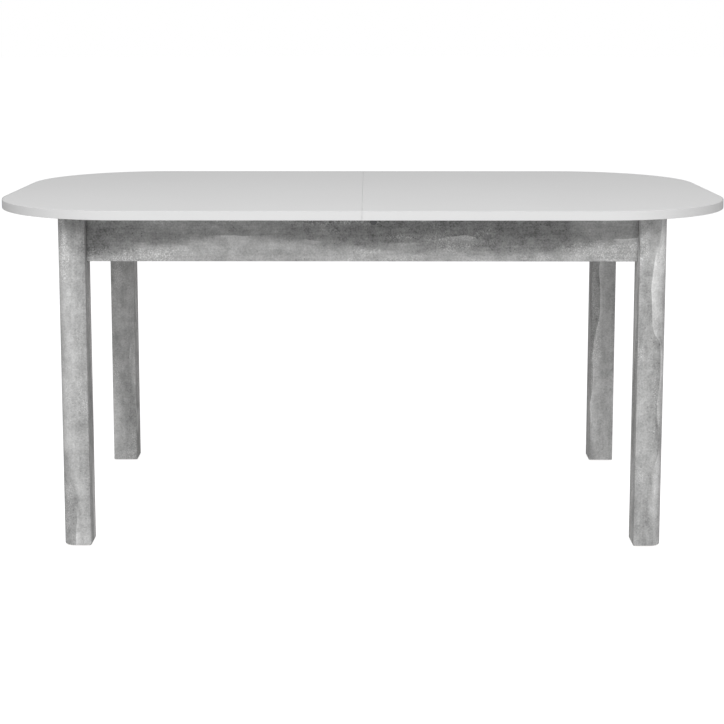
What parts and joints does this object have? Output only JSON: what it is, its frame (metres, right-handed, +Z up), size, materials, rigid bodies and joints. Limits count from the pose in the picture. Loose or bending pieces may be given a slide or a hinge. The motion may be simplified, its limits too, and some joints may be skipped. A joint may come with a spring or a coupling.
{
  "type": "extendable dining table",
  "caption": "Rectangular dining table with large rounded top corners, a concrete-look leg frame and a white top whose halves slide apart over the frame to take a stored leaf.",
  "frame": {"origin": "on the floor, midway between the legs, under the middle of the seam in the closed top", "axes": "+X along the table towards its right end, +Y across it from the front to the rear, +Z up"},
  "size_m": [1.6, 0.9, 0.74],
  "materials": {
    "white_melamine": "matt white melamine face on chipboard",
    "white_abs": "matt white 2 mm edge band",
    "concrete_foil": "matt concrete-look decor foil on board, cloudy grey with fine pale streaks and specks",
    "zinc_steel": "bright zinc plated",
    "rail_steel": "zinc plated rolled sheet",
    "cage_steel": "pressed sheet with bearing balls",
    "pale_beech": "planed and unvarnished",
    "dark_plastic": "fine satin",
    "grey_nylon": "moulded"
  },
  "bodies": {
    "frame": {"leg_front_left": "concrete_foil", "leg_front_right": "concrete_foil", "leg_rear_left": "concrete_foil", "leg_rear_right": "concrete_foil", "apron_front": "concrete_foil", "apron_rear": "concrete_foil", "apron_left": "concrete_foil", "apron_right": "concrete_foil", "corner_bracket_front_left": "zinc_steel", "corner_bracket_front_right": "zinc_steel", "corner_bracket_rear_left": "zinc_steel", "corner_bracket_rear_right": "zinc_steel", "hanger_bolt_front_left": "zinc_steel", "hanger_bolt_front_right": "zinc_steel", "hanger_bolt_rear_left": "zinc_steel", "hanger_bolt_rear_right": "zinc_steel", "bracket_nut_front_left": "zinc_steel", "bracket_nut_front_right": "zinc_steel", "bracket_nut_rear_left": "zinc_steel", "bracket_nut_rear_right": "zinc_steel", "glide_front_left": "grey_nylon", "glide_front_right": "grey_nylon", "glide_rear_left": "grey_nylon", "glide_rear_right": "grey_nylon", "slide_fixed_front_left": "rail_steel", "slide_fixed_front_right": "rail_steel", "slide_fixed_rear_left": "rail_steel", "slide_fixed_rear_right": "rail_steel", "leaf_bearer_left": "pale_beech", "leaf_bearer_right": "pale_beech", "stop_block_front": "dark_plastic", "stop_block_rear": "dark_plastic", "stop_bolt_front": "zinc_steel", "stop_bolt_rear": "zinc_steel", "cover_cap_front": "dark_plastic", "cover_cap_rear": "dark_plastic"},
    "left_top": {"top_left_half": "white_melamine", "edge_band_left": "white_abs", "batten_front_left": "pale_beech", "batten_rear_left": "pale_beech", "slide_moving_front_left": "rail_steel", "slide_moving_rear_left": "rail_steel", "seam_pin_front": "zinc_steel", "seam_pin_rear": "zinc_steel"},
    "right_top": {"top_right_half": "white_melamine", "edge_band_right": "white_abs", "batten_front_right": "pale_beech", "batten_rear_right": "pale_beech", "slide_moving_front_right": "rail_steel", "slide_moving_rear_right": "rail_steel"},
    "left_cages": {"ball_cage_front_left": "cage_steel", "ball_cage_rear_left": "cage_steel"},
    "right_cages": {"ball_cage_front_right": "cage_steel", "ball_cage_rear_right": "cage_steel"},
    "leaf": {"spare_leaf": "white_melamine", "leaf_edge_band_left": "white_abs", "leaf_edge_band_right": "white_abs", "leaf_pin_left": "zinc_steel", "leaf_pin_right": "zinc_steel"}
  },
  "joints": [
    {"name": "left_top_slide", "type": "slide", "parent": "frame", "child": "left_top", "axis": [-1, 0, 0], "range_m": [0, 0.2]},
    {"name": "right_top_slide", "type": "slide", "parent": "frame", "child": "right_top", "axis": [1, 0, 0], "range_m": [0, 0.2]},
    {"name": "left_cage_slide", "type": "slide", "parent": "frame", "child": "left_cages", "axis": [-1, 0, 0], "range_m": [0, 0.1]},
    {"name": "right_cage_slide", "type": "slide", "parent": "frame", "child": "right_cages", "axis": [1, 0, 0], "range_m": [0, 0.1]},
    {"name": "leaf_slide", "type": "slide", "parent": "frame", "child": "leaf", "axis": [1, 0, 0], "range_m": [-0.15, 0.15]}
  ],
  "couplings": [
    {"joint": "left_cage_slide", "follows": "left_top_slide", "ratio": 0.5},
    {"joint": "right_cage_slide", "follows": "right_top_slide", "ratio": 0.5}
  ]
}
